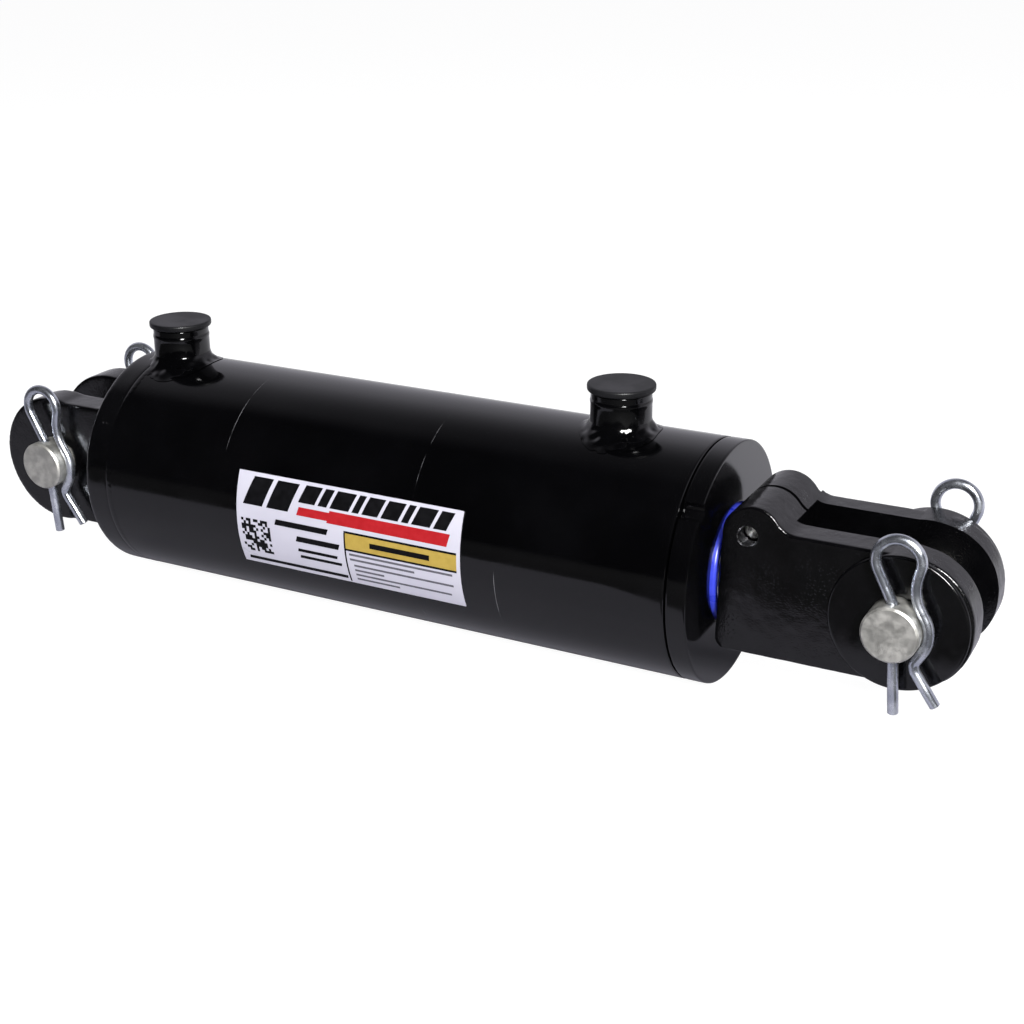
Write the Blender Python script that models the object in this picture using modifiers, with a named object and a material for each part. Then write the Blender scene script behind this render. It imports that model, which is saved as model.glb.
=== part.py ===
"""Welded-base hydraulic cylinder: 4 inch bore, 8 inch stroke, 2 inch rod, clevis and pin at both ends.

The origin is the centre of the base clevis pin. +X runs along the rod towards the rod clevis, +Z is the side
of the barrel that carries the two oil ports, and the clevis pins lie along Y. It is drawn fully retracted.
"""
import math

import bmesh
import bpy
from mathutils import Vector

MM = 0.001
INCH = 0.0254
GAP = 0.3 * MM                      # clearance between pieces that touch or are cut to fit each other

# Driving sizes
BORE_R = 2.0 * INCH
BARREL_R = 2.25 * INCH
ROD_R = 1.0 * INCH
STROKE = 8.0 * INCH
RETRACTED = 18.25 * INCH            # pin centre to pin centre
PIN_R = 0.5 * INCH
PIN_LENGTH = 3.5 * INCH
EAR_GAP = 1.125 * INCH              # between the two ears of a clevis
EAR_SPAN = 2.5 * INCH               # over the outsides of the two ears
MAIN_STEPS = 40                     # facets round everything on the cylinder's own axis
SMALL_STEPS = 28                    # facets round pins, ports and plugs
WELD_STEPS = 30                     # facets round a port weld

# Stations along X
CAP_REAR = 42.5 * MM                # back face of the base casting's round cap
CAP_FRONT = 58.0 * MM               # where the cap meets the barrel tube
CAP_INNER = 60.0 * MM               # inside face, seen by the oil
GLAND_REAR = 313.0 * MM
TUBE_FRONT = 366.9 * MM
GLAND_FRONT = 377.46 * MM
WIPER_FRONT = 380.0 * MM
CLEVIS_REAR = 382.0 * MM
SLOT_ROOT = 411.5 * MM
PISTON_REAR = 74.0 * MM
PISTON_FRONT = GLAND_REAR - STROKE - GAP
PORT_STATIONS = {"base": 66.9 * MM, "rod": 320.2 * MM}

# Piston and gland fits
GLAND_BORE_R = ROD_R + GAP
SPIGOT_R = BORE_R - GAP
PISTON_R = BORE_R - 0.6 * MM
TAIL_R = 0.625 * INCH               # rod tail through the piston
PISTON_BORE_R = TAIL_R + GAP
ROD_THREAD_R = 0.75 * INCH          # rod end thread inside the clevis

# Ports
PORT_TOP = 75.0 * MM
BOSS_R = 14.4 * MM
PORT_R = 9.3 * MM
PASSAGE_R = 6.5 * MM
PLUG_TOP = 78.5 * MM
PLUG_R = 16.0 * MM

# Clevis pins and their hairpin clips
CLIP_WIRE_R = 3.0 / 32.0 * INCH
CLIP_Y = 1.5 * INCH                 # cross hole from the middle of the pin
CLIP_HOLE_R = CLIP_WIRE_R + 0.45 * MM
CLIP_LEAN = {"near": math.radians(-4.3), "far": math.radians(5.0)}   # cross holes and clips, about the pin
CLIP_RISE = {"base_far": 5.0 * MM}   # a clip that is not pushed fully home stands this much higher

# Clamp on the rod clevis
CLAMP_X = 394.4 * MM
CLAMP_Z = 26.6 * MM
CLAMP_SEAT_Y = 22.8 * MM            # flat under the bolt head
CLAMP_BOLT_R = 3.0 / 16.0 * INCH
LOBE_R = 14.2 * MM
LOBE_CENTRE = Vector((396.6 * MM, 26.5 * MM))
ARM_TOP = 30.5 * MM

COLOURS = {
    "black_paint": ((0.012, 0.012, 0.014, 1.0), 0.16, 0.0),
    "cast_paint": ((0.016, 0.016, 0.018, 1.0), 0.25, 0.0),
    "zinc": ((0.62, 0.60, 0.55, 1.0), 0.34, 1.0),
    "bright_zinc": ((0.72, 0.75, 0.80, 1.0), 0.2, 1.0),
    "chrome": ((0.8, 0.8, 0.8, 1.0), 0.08, 1.0),
    "steel": ((0.35, 0.35, 0.36, 1.0), 0.4, 1.0),
    "iron": ((0.2, 0.2, 0.2, 1.0), 0.55, 0.8),
    "nitrile": ((0.02, 0.02, 0.02, 1.0), 0.6, 0.0),
    "blue_urethane": ((0.03, 0.05, 0.75, 1.0), 0.4, 0.0),
    "ptfe": ((0.10, 0.30, 0.25, 1.0), 0.5, 0.0),
    "nylon": ((0.75, 0.70, 0.55, 1.0), 0.5, 0.0),
    "plug_plastic": ((0.03, 0.03, 0.035, 1.0), 0.5, 0.0),
    "label": ((0.85, 0.85, 0.88, 1.0), 0.35, 0.0),
}


# ---------------------------------------------------------------- scene and materials
def clear_scene():
    for item in list(bpy.data.objects):
        bpy.data.objects.remove(item, do_unlink=True)


def new_collection(name):
    collection = bpy.data.collections.new(name)
    bpy.context.scene.collection.children.link(collection)
    return collection


def paint(item, finish):
    """Give the object a material of its own with one of the named finishes."""
    colour, roughness, metallic = COLOURS[finish]
    material = bpy.data.materials.new(item.name + "_" + finish)
    material.use_nodes = True
    shader = material.node_tree.nodes["Principled BSDF"]
    shader.inputs["Base Color"].default_value = colour
    shader.inputs["Roughness"].default_value = roughness
    shader.inputs["Metallic"].default_value = metallic
    item.data.materials.clear()
    item.data.materials.append(material)


# ---------------------------------------------------------------- shapes
TURN = {"X": (0.0, math.pi / 2, 0.0), "Y": (-math.pi / 2, 0.0, 0.0), "Z": (0.0, 0.0, 0.0)}


def place_in(collection, name, data):
    item = bpy.data.objects.new(name, data)
    collection.objects.link(item)
    if collection.name == "cutters":
        item.hide_render = True
        item.display_type = "WIRE"
    return item


def turned(collection, name, outline, axis="X", at=(0.0, 0.0, 0.0), steps=MAIN_STEPS):
    """Turn an outline of (station, radius) points about an axis.

    The points start at the far end and run down the outer side. An outline that starts on the axis is
    solid, and any other is a closed ring.
    """
    mesh = bpy.data.meshes.new(name)
    shape = bmesh.new()
    corners = [shape.verts.new((radius, 0.0, station)) for station, radius in outline]
    for first, second in zip(corners, corners[1:]):
        shape.edges.new((first, second))
    if outline[0][1] > 0.0:
        shape.edges.new((corners[-1], corners[0]))
    shape.to_mesh(mesh)
    shape.free()
    item = place_in(collection, name, mesh)
    item.location = at
    item.rotation_euler = TURN[axis]
    screw = item.modifiers.new("turn", "SCREW")
    screw.axis = "Z"
    screw.steps = steps
    screw.render_steps = steps
    screw.use_merge_vertices = True
    screw.merge_threshold = 0.00001
    return item


def rod_shape(collection, name, radius, low, high, axis="Y", at=(0.0, 0.0, 0.0), steps=SMALL_STEPS):
    """A plain round bar from low to high along its axis."""
    return turned(collection, name, [(high, 0.0), (high, radius), (low, radius), (low, 0.0)], axis, at, steps)


def block(collection, name, low, high):
    """A box between two opposite corners."""
    mesh = bpy.data.meshes.new(name)
    shape = bmesh.new()
    bmesh.ops.create_cube(shape, size=1.0)
    size = Vector(high) - Vector(low)
    bmesh.ops.scale(shape, vec=size, verts=shape.verts)
    bmesh.ops.translate(shape, vec=(Vector(high) + Vector(low)) / 2, verts=shape.verts)
    shape.to_mesh(mesh)
    shape.free()
    return place_in(collection, name, mesh)


def plate(collection, name, outline, thickness, axis="Y", at=(0.0, 0.0, 0.0)):
    """A flat outline given the thickness about its own plane, as a welded mesh.

    The outline lies in XZ for axis Y, and in YZ for axis X.
    """
    curve = bpy.data.curves.new(name, "CURVE")
    curve.dimensions = "2D"
    curve.fill_mode = "BOTH"
    curve.extrude = thickness / 2
    spline = curve.splines.new("POLY")
    spline.points.add(len(outline) - 1)
    for point, (across, up) in zip(spline.points, outline):
        point.co = (across, up, 0.0, 1.0)
    spline.use_cyclic_u = True
    guide = bpy.data.objects.new(name + "_curve", curve)
    bpy.context.scene.collection.objects.link(guide)
    guide.rotation_euler = (math.pi / 2, 0.0, 0.0) if axis == "Y" else (math.pi / 2, 0.0, math.pi / 2)
    guide.location = at
    return from_curve(collection, name, guide)


def from_curve(collection, name, guide):
    """Replace a curve object with a welded mesh object."""
    bpy.context.view_layer.update()
    evaluated = guide.evaluated_get(bpy.context.evaluated_depsgraph_get())
    mesh = bpy.data.meshes.new_from_object(evaluated)
    shape = bmesh.new()
    shape.from_mesh(mesh)
    bmesh.ops.remove_doubles(shape, verts=shape.verts, dist=0.000001)
    bmesh.ops.recalc_face_normals(shape, faces=shape.faces)
    shape.to_mesh(mesh)
    shape.free()
    mesh.name = name
    item = place_in(collection, name, mesh)
    item.matrix_world = guide.matrix_world
    bpy.data.objects.remove(guide, do_unlink=True)
    return item


def boolean(item, tool, operation="DIFFERENCE"):
    modifier = item.modifiers.new(tool.name, "BOOLEAN")
    modifier.operation = operation
    modifier.solver = "EXACT"
    modifier.object = tool


def finish_part(item, finish):
    """Apply the modifiers, shade the round faces smooth and add the finish."""
    bpy.context.view_layer.update()
    evaluated = item.evaluated_get(bpy.context.evaluated_depsgraph_get())
    mesh = bpy.data.meshes.new_from_object(evaluated)
    item.modifiers.clear()
    item.data = mesh
    mesh.name = item.name
    mesh.shade_smooth()
    mesh.set_sharp_from_angle(angle=math.radians(28.0))
    paint(item, finish)
    return item


def arc(centre, radius, start, end, count):
    """Points round an arc, with angles in degrees from the first axis."""
    points = []
    for index in range(count + 1):
        angle = math.radians(start + (end - start) * index / count)
        points.append((centre[0] + radius * math.cos(angle), centre[1] + radius * math.sin(angle)))
    return points


# ---------------------------------------------------------------- barrel, base and gland
def barrel_tube(parts, cutters):
    low = CAP_FRONT + GAP
    edge = 0.5 * MM
    outline = [(TUBE_FRONT, BORE_R), (TUBE_FRONT, BARREL_R - edge), (TUBE_FRONT - edge, BARREL_R)]
    outline += [(low, BARREL_R), (low, BORE_R)]
    tube = turned(parts, "barrel_tube", outline)
    for name, station in PORT_STATIONS.items():
        drill = rod_shape(cutters, name + "_passage", PASSAGE_R, 40 * MM, 70 * MM, "Z", (station, 0, 0))
        boolean(tube, drill)
    finish_part(tube, "black_paint")


def ear_outline():
    """One base ear from the side: round about the pin, and flared with a concave fillet into the cap."""
    ear_r = 34.3 * MM
    half = 33.0 * MM
    flare_r = 12.0 * MM
    root = CAP_REAR + 4 * MM
    start = math.degrees(math.asin(half / ear_r))
    flare_centre = (CAP_REAR - flare_r, half + flare_r)
    upper = arc(flare_centre, flare_r, 0.0, -90.0, 6)
    lower = [(x, -z) for x, z in reversed(upper)]
    round_end = arc((0.0, 0.0), ear_r, start, 360.0 - start, 26)
    top = half + flare_r
    return [(root, top)] + upper + round_end + lower + [(root, -top)]


def base_clevis(parts, cutters):
    """One casting, the cap that closes the barrel and its two ears, with the weld bead at the joint."""
    edge = 2.0 * MM
    bead_r = 57.9 * MM
    bead = 3.6 * MM
    pocket_r = 30.0 * MM
    pocket_floor = 56.0 * MM
    register_r = SPIGOT_R
    outline = [(pocket_floor, 0.0), (pocket_floor, pocket_r), (CAP_INNER, pocket_r)]
    outline += [(CAP_INNER, register_r), (CAP_FRONT, register_r), (CAP_FRONT, BARREL_R)]
    outline += [(CAP_FRONT - 0.4 * MM, bead_r), (CAP_FRONT - bead + 0.8 * MM, bead_r)]
    outline += [(CAP_FRONT - bead, BARREL_R), (CAP_REAR + edge, BARREL_R), (CAP_REAR, BARREL_R - edge)]
    outline += [(CAP_REAR, 0.0)]
    cap = turned(parts, "base_clevis", outline)
    width = (EAR_SPAN - EAR_GAP) / 2
    for side in (-1, 1):
        middle = side * (EAR_GAP + width) / 2
        ear = plate(cutters, "base_ear_%d" % side, ear_outline(), width, "Y", (0.0, middle, 0.0))
        boolean(cap, ear, "UNION")
    boolean(cap, rod_shape(cutters, "base_pin_bore", PIN_R + GAP, -50 * MM, 50 * MM))
    finish_part(cap, "cast_paint")


def gland(parts, cutters):
    """Threaded head in the front of the barrel, grooved for its seals and notched for a hook spanner."""
    flange_rear = TUBE_FRONT + 0.8 * MM
    nose_r = 38.0 * MM
    nose_end = 333.0 * MM
    edge = 0.8 * MM
    outline = [(GLAND_FRONT, 31.8 * MM), (GLAND_FRONT, BARREL_R - edge), (GLAND_FRONT - edge, BARREL_R)]
    outline += [(flange_rear, BARREL_R), (flange_rear, SPIGOT_R)]
    outline += groove(SPIGOT_R, 46.3 * MM, 347.5 * MM, 341.0 * MM)
    outline += [(nose_end, SPIGOT_R), (nose_end, nose_r), (GLAND_REAR, nose_r), (GLAND_REAR, GLAND_BORE_R)]
    outline += groove(GLAND_BORE_R, 28.2 * MM, 322.0 * MM, 336.0 * MM)
    outline += groove(GLAND_BORE_R, 30.9 * MM, 352.0 * MM, 361.0 * MM)
    outline += [(370.5 * MM, GLAND_BORE_R), (370.5 * MM, 31.8 * MM)]
    head = turned(parts, "gland", outline)
    for angle in (47.0, 227.0):
        turn = math.radians(angle)
        centre = (0.0, -math.sin(turn) * (BARREL_R + 1.0 * MM), math.cos(turn) * (BARREL_R + 1.0 * MM))
        notch = rod_shape(cutters, "notch_%d" % angle, 4.5 * MM, 360 * MM, 385 * MM, "X", centre, 16)
        boolean(head, notch)
    finish_part(head, "black_paint")


def groove(surface, floor, first, last):
    """Outline points of a square groove between two stations."""
    return [(first, surface), (first, floor), (last, floor), (last, surface)]


def ring(parts, name, finish, inner, outer, low, high):
    """A seal or wear ring of square section."""
    outline = [(high, inner), (high, outer), (low, outer), (low, inner)]
    finish_part(turned(parts, name, outline), finish)


def round_ring(parts, name, finish, inner, outer, low, high):
    """An O-ring squeezed to fill its groove, with a six-sided section."""
    middle_r = (inner + outer) / 2
    quarter = (high - low) / 4
    outline = [(high, middle_r), (high - quarter, outer), (low + quarter, outer)]
    outline += [(low, middle_r), (low + quarter, inner), (high - quarter, inner)]
    finish_part(turned(parts, name, outline), finish)


def gland_seals(parts):
    round_ring(parts, "gland_o_ring", "nitrile", 46.6 * MM, SPIGOT_R, 341.3 * MM, 344.9 * MM)
    ring(parts, "gland_backup_ring", "ptfe", 46.6 * MM, SPIGOT_R, 345.3 * MM, 347.2 * MM)
    ring(parts, "rod_wear_ring", "nylon", GLAND_BORE_R, 27.9 * MM, 322.3 * MM, 335.7 * MM)
    lip = [(360.7 * MM, GLAND_BORE_R), (360.7 * MM, 30.6 * MM), (352.3 * MM, 30.6 * MM)]
    lip += [(354.6 * MM, 28.2 * MM), (352.3 * MM, GLAND_BORE_R)]
    finish_part(turned(parts, "rod_seal", lip), "blue_urethane")
    wiper = [(WIPER_FRONT, GLAND_BORE_R), (WIPER_FRONT, 27.2 * MM), (378.2 * MM, 31.5 * MM)]
    wiper += [(370.8 * MM, 31.5 * MM), (370.8 * MM, GLAND_BORE_R)]
    finish_part(turned(parts, "rod_wiper", wiper), "blue_urethane")


# ---------------------------------------------------------------- ports
def port_weld(cutters, name, station):
    """Fillet weld round a port boss as a closed ring that follows the curve of the barrel."""
    mesh = bpy.data.meshes.new(name)
    shape = bmesh.new()
    leg = 4.8 * MM
    inner = 12.0 * MM
    sunk = 48.0 * MM
    rings = []
    for index in range(WELD_STEPS):
        turn = 2 * math.pi * index / WELD_STEPS
        across = math.sin(turn)
        toe = (18.4 + 4.2 * across ** 2) * MM
        toe_z = math.sqrt(BARREL_R ** 2 - (toe * across) ** 2)
        root_z = math.sqrt(BARREL_R ** 2 - (BOSS_R * across) ** 2)
        low = Vector((toe, toe_z + 0.5 * MM))
        bend = Vector((BOSS_R + 0.35 * (toe - BOSS_R), root_z + 0.3 * leg))
        high = Vector((BOSS_R - 0.1 * MM, root_z + leg))
        section = [Vector((inner, sunk)), Vector((toe, sunk))]
        for step in range(4):
            t = step / 3
            section.append(low * (1 - t) ** 2 + bend * 2 * t * (1 - t) + high * t ** 2)
        section.append(Vector((inner, high.y)))
        ring = [(station + point.x * math.cos(turn), point.x * across, point.y) for point in section]
        rings.append([shape.verts.new(place) for place in ring])
    for one, two in zip(rings, rings[1:] + rings[:1]):
        for low, high in zip(range(len(one)), list(range(1, len(one))) + [0]):
            shape.faces.new((one[low], one[high], two[high], two[low]))
    bmesh.ops.recalc_face_normals(shape, faces=shape.faces)
    shape.to_mesh(mesh)
    shape.free()
    return place_in(cutters, name, mesh)


def port(parts, cutters, name, station):
    """A port boss welded to the top of the barrel, and the push-in plug that closes it."""
    sunk = 50.0 * MM
    seat = 60.5 * MM
    edge = 0.5 * MM
    at = (station, 0.0, 0.0)
    outline = [(PORT_TOP, PORT_R), (PORT_TOP, BOSS_R - edge), (PORT_TOP - edge, BOSS_R), (sunk, BOSS_R)]
    outline += [(sunk, PASSAGE_R), (seat, PASSAGE_R), (seat, PORT_R)]
    boss = turned(parts, name + "_port_boss", outline, "Z", at, SMALL_STEPS)
    boolean(boss, port_weld(cutters, name + "_weld", station), "UNION")
    bead_r = 58.2 * MM
    skin = BARREL_R + GAP
    step = CAP_FRONT + 0.5 * MM
    reach = 30.0 * MM
    saddle = [(station + reach, 0.0), (station + reach, skin), (step, skin), (step, bead_r)]
    saddle += [(reach, bead_r), (reach, 0.0)]
    boolean(boss, turned(cutters, name + "_saddle", saddle, "X"))
    finish_part(boss, "black_paint")

    under = PORT_TOP + GAP
    stem_r = PORT_R - 0.4 * MM
    stem_end = 62.5 * MM
    rim = 0.8 * MM
    plug = [(PLUG_TOP, 0.0), (PLUG_TOP, PLUG_R - rim), (PLUG_TOP - rim, PLUG_R), (PLUG_TOP - 2 * rim, PLUG_R)]
    plug += [(under, PLUG_R - rim), (under, stem_r), (stem_end + 1 * MM, stem_r)]
    plug += [(stem_end, stem_r - 1 * MM), (stem_end, 0.0)]
    item = turned(parts, name + "_port_plug", plug, "Z", at, SMALL_STEPS)
    finish_part(item, "plug_plastic")


def info_label(parts):
    """The sticker on the near side of the barrel, a thin sheet that follows the tube."""
    low_x = 139.2 * MM
    high_x = 265.6 * MM
    half_angle = math.radians(24.7)
    thickness = 0.25 * MM
    radius = BARREL_R + GAP
    mesh = bpy.data.meshes.new("info_label")
    shape = bmesh.new()
    bmesh.ops.create_grid(shape, x_segments=1, y_segments=10, size=0.5)
    for corner in shape.verts:
        angle = corner.co.y * 2 * half_angle
        station = low_x + (corner.co.x + 0.5) * (high_x - low_x)
        corner.co = (station, -radius * math.cos(angle), radius * math.sin(angle))
    shape.to_mesh(mesh)
    shape.free()
    sheet = place_in(parts, "info_label", mesh)
    solid = sheet.modifiers.new("thickness", "SOLIDIFY")
    solid.thickness = thickness
    solid.offset = 1.0
    finish_part(sheet, "label")


# ---------------------------------------------------------------- rod and piston
def piston_rod(parts):
    """Chrome rod with a threaded tail for the piston nut and a threaded front end for the clevis."""
    edge = 1.0 * MM
    tail = 58.8 * MM
    thread_end = 410.3 * MM
    shoulder = CLEVIS_REAR - GAP
    outline = [(thread_end, 0.0), (thread_end, ROD_THREAD_R - edge), (thread_end - edge, ROD_THREAD_R)]
    outline += [(shoulder, ROD_THREAD_R), (shoulder, ROD_R)]
    outline += [(PISTON_FRONT + GAP, ROD_R), (PISTON_FRONT + GAP, TAIL_R), (tail + edge, TAIL_R)]
    outline += [(tail, TAIL_R - edge), (tail, 0.0)]
    finish_part(turned(parts, "piston_rod", outline), "chrome")


def piston(parts):
    """Piston with grooves for two wear rings, the main seal and its static O-ring."""
    outline = [(PISTON_FRONT, PISTON_BORE_R), (PISTON_FRONT, PISTON_R)]
    outline += groove(PISTON_R, 47.9 * MM, 106.5 * MM, 100.5 * MM)
    outline += groove(PISTON_R, 44.2 * MM, 97.0 * MM, 86.5 * MM)
    outline += groove(PISTON_R, 47.9 * MM, 83.0 * MM, 77.0 * MM)
    outline += [(PISTON_REAR, PISTON_R), (PISTON_REAR, PISTON_BORE_R)]
    outline += groove(PISTON_BORE_R, 18.8 * MM, 88.0 * MM, 92.0 * MM)
    finish_part(turned(parts, "piston", outline), "iron")
    ring(parts, "piston_wear_ring_front", "nylon", 48.2 * MM, SPIGOT_R, 100.8 * MM, 106.2 * MM)
    ring(parts, "piston_wear_ring_rear", "nylon", 48.2 * MM, SPIGOT_R, 77.3 * MM, 82.7 * MM)
    ring(parts, "piston_seal", "ptfe", 47.8 * MM, SPIGOT_R, 86.8 * MM, 96.7 * MM)
    round_ring(parts, "piston_seal_energizer", "nitrile", 44.5 * MM, 47.5 * MM, 88.5 * MM, 95.0 * MM)
    round_ring(parts, "piston_o_ring", "nitrile", PISTON_BORE_R, 18.5 * MM, 88.3 * MM, 91.7 * MM)


def piston_nut(parts, cutters):
    """Half-height hex lock nut that holds the piston against the rod's shoulder."""
    across_flats = 46.0 * MM
    corner_r = across_flats / math.sqrt(3.0)
    front = PISTON_REAR - GAP
    rear = 60.5 * MM
    bevel = 1.5 * MM
    outline = [(front, PISTON_BORE_R), (front, corner_r), (rear + bevel, corner_r)]
    outline += [(rear, corner_r - 2 * bevel), (rear, PISTON_BORE_R)]
    nut = turned(parts, "piston_nut", outline, steps=36)
    corners = [turn * math.pi / 3 for turn in range(6)]
    hexagon = [(corner_r * math.cos(corner), corner_r * math.sin(corner)) for corner in corners]
    tool = plate(cutters, "nut_hexagon", hexagon, 40 * MM, "X", (PISTON_REAR, 0.0, 0.0))
    boolean(nut, tool, "INTERSECT")
    finish_part(nut, "steel")


# ---------------------------------------------------------------- rod clevis
def clevis_outline():
    """The rod clevis from the side: clamp lobe over the rod thread, straight arms, rounded ear ends."""
    tip = RETRACTED + 32.0 * MM
    corner = 29.0 * MM
    foot = 5.0 * MM
    arm_low = -30.0 * MM
    ease_r = 10.0 * MM
    lobe = LOBE_CENTRE
    ease_z = ARM_TOP + ease_r
    reach = LOBE_R + ease_r
    ease_x = lobe.x + math.sqrt(reach ** 2 - (ease_z - lobe.y) ** 2)
    meet = math.degrees(math.atan2(ease_z - lobe.y, ease_x - lobe.x))
    points = arc((CLEVIS_REAR + foot, arm_low + foot), foot, -90.0, -180.0, 4)
    points += arc(lobe, LOBE_R, 180.0, meet, 12)
    points += arc((ease_x, ease_z), ease_r, 180.0 + meet, 270.0, 5)
    points += arc((tip - corner, ARM_TOP - corner), corner, 90.0, 0.0, 9)
    points += arc((tip - corner, arm_low + corner), corner, 0.0, -90.0, 9)
    return points


def rod_clevis(parts, cutters):
    """Cast clevis, widest at mid height, split and clamped on the rod thread."""
    body = plate(parts, "rod_clevis", clevis_outline(), 64 * MM, "Y")
    half = [(27.8 * MM, 0.0), (26.0 * MM, 43.0 * MM), (-29.1 * MM, 43.0 * MM)]
    half += [(-29.5 * MM, 0.0), (-28.8 * MM, -33.0 * MM), (26.6 * MM, -33.0 * MM)]
    draft = plate(cutters, "clevis_draft", half, 160 * MM, "X", (RETRACTED - 25 * MM, 0.0, 0.0))
    boolean(body, draft, "INTERSECT")
    disc_r = 31.0 * MM
    edge = 1.0 * MM
    reach = EAR_SPAN / 2
    disc = [(reach, 0.0), (reach, disc_r - edge), (reach - edge, disc_r)]
    disc += [(edge - reach, disc_r), (-reach, disc_r - edge), (-reach, 0.0)]
    pin_at = (RETRACTED, 0.0, 0.0)
    boolean(body, turned(cutters, "ear_discs", disc, "Y", pin_at, SMALL_STEPS), "UNION")
    slot_half = EAR_GAP / 2
    far_end = RETRACTED + 60 * MM
    slot_low = (SLOT_ROOT, -slot_half, -60 * MM)
    boolean(body, block(cutters, "clevis_slot", slot_low, (far_end, slot_half, 60 * MM)))
    boolean(body, rod_shape(cutters, "rod_pin_bore", PIN_R + GAP, -50 * MM, 50 * MM, "Y", pin_at))
    thread = rod_shape(cutters, "thread_bore", ROD_THREAD_R + GAP, 0.37, 0.43, "X", steps=MAIN_STEPS)
    boolean(body, thread)
    split = 1.25 * MM
    boolean(body, block(cutters, "clamp_split", (0.37, -split, 5 * MM), (0.42, split, 50 * MM)))
    bolt_at = (CLAMP_X, 0.0, CLAMP_Z)
    boolean(body, rod_shape(cutters, "clamp_hole", CLAMP_BOLT_R + GAP, -40 * MM, 40 * MM, "Y", bolt_at, 20))
    boolean(body, rod_shape(cutters, "clamp_seat", 17.0 * MM, CLAMP_SEAT_Y, 40 * MM, "Y", bolt_at))
    finish_part(body, "cast_paint")


def clamp_bolt(parts, cutters):
    """Hex bolt that closes the clevis split, its head on the far side and its thread in the near side."""
    under_head = CLAMP_SEAT_Y + GAP
    head = 6.5 * MM
    head_r = 8.2 * MM
    tip = -21.0 * MM
    edge = 1.0 * MM
    top = under_head + head
    outline = [(top, 0.0), (top, head_r - edge), (top - edge, head_r)]
    outline += [(under_head, head_r), (under_head, CLAMP_BOLT_R), (tip + edge, CLAMP_BOLT_R)]
    outline += [(tip, CLAMP_BOLT_R - edge), (tip, 0.0)]
    at = (CLAMP_X, 0.0, CLAMP_Z)
    bolt = turned(parts, "clamp_bolt", outline, "Y", at, 18)
    corners = [turn * math.pi / 3 for turn in range(6)]
    hexagon = [(head_r * math.cos(corner), head_r * math.sin(corner)) for corner in corners]
    boolean(bolt, plate(cutters, "bolt_hexagon", hexagon, 120 * MM, "Y", at), "INTERSECT")
    finish_part(bolt, "zinc")


# ---------------------------------------------------------------- clevis pins and hairpin clips
def clevis_pin(parts, cutters, end, station):
    half = PIN_LENGTH / 2
    edge = 1.6 * MM
    outline = [(half, 0.0), (half, PIN_R - edge), (half - edge, PIN_R)]
    outline += [(edge - half, PIN_R), (-half, PIN_R - edge), (-half, 0.0)]
    pin = turned(parts, end + "_clevis_pin", outline, "Y", (station, 0.0, 0.0), SMALL_STEPS)
    for side, y in (("near", -CLIP_Y), ("far", CLIP_Y)):
        name = "%s_%s_clip_hole" % (end, side)
        drill = rod_shape(cutters, name, CLIP_HOLE_R, -20 * MM, 20 * MM, "Z", (station, y, 0.0), 12)
        drill.rotation_euler = (0.0, CLIP_LEAN[side], 0.0)
        boolean(pin, drill)
    finish_part(pin, "zinc")


def tangent_path(chain, step):
    """Points of a path that runs straight between (centre, radius, turn) circles and bends round each one.

    A turn of 1 is to the left and -1 to the right, and the two ends are circles of no radius.
    """
    headings = []
    for (one, one_r, one_turn), (two, two_r, two_turn) in zip(chain, chain[1:]):
        between = two - one
        offset = two_turn * two_r - one_turn * one_r
        straight = math.sqrt(max(between.length_squared - offset ** 2, 0.0))
        headings.append(math.atan2(between.y, between.x) - math.atan2(offset, straight))
    points = [chain[0][0]]
    for (centre, radius, turn), arrive, leave in zip(chain[1:-1], headings, headings[1:]):
        sweep = (leave - arrive) * turn % (2 * math.pi)
        count = max(1, round(sweep / step))
        for index in range(count + 1):
            heading = arrive + turn * sweep * index / count
            right = Vector((math.sin(heading), -math.cos(heading)))
            points.append(centre + right * radius * turn)
    points.append(chain[-1][0])
    return points


def clip_path(rise):
    """Centre line of a hairpin clip about its pin, in (X, Z): straight leg, loop, and the leg that grips."""
    lift = Vector((0.0, rise))
    bend = (Vector((-6.0, 11.2)) * MM + lift, 6.0 * MM, 1)
    loop = (Vector((2.6, 31.5)) * MM + lift, 9.8 * MM, -1)
    neck = (Vector((30.0, 19.2)) * MM + lift, 20.0 * MM, 1)
    grip = (Vector((0.0, 0.0)), PIN_R + CLIP_WIRE_R + GAP, -1)
    flare = (Vector((14.0, -15.6)) * MM, 5.0 * MM, 1)
    leg_end = (Vector((0.0, -38.7)) * MM, 0.0, 1)
    tip = (Vector((18.2, -32.8)) * MM, 0.0, 1)
    return tangent_path([leg_end, bend, loop, neck, grip, flare, tip], math.radians(17.0))


def hairpin(parts, end, station, side, y):
    name = "%s_hairpin_%s" % (end, side)
    curve = bpy.data.curves.new(name, "CURVE")
    curve.dimensions = "3D"
    curve.bevel_depth = CLIP_WIRE_R
    curve.bevel_resolution = 2
    curve.use_fill_caps = True
    spline = curve.splines.new("POLY")
    path = clip_path(CLIP_RISE.get(end + "_" + side, 0.0))
    spline.points.add(len(path) - 1)
    for point, place in zip(spline.points, path):
        point.co = (place.x, 0.0, place.y, 1.0)
    guide = bpy.data.objects.new(name + "_curve", curve)
    bpy.context.scene.collection.objects.link(guide)
    guide.location = (station, y, 0.0)
    guide.rotation_euler = (0.0, CLIP_LEAN[side], 0.0)
    finish_part(from_curve(parts, name, guide), "bright_zinc")


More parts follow.
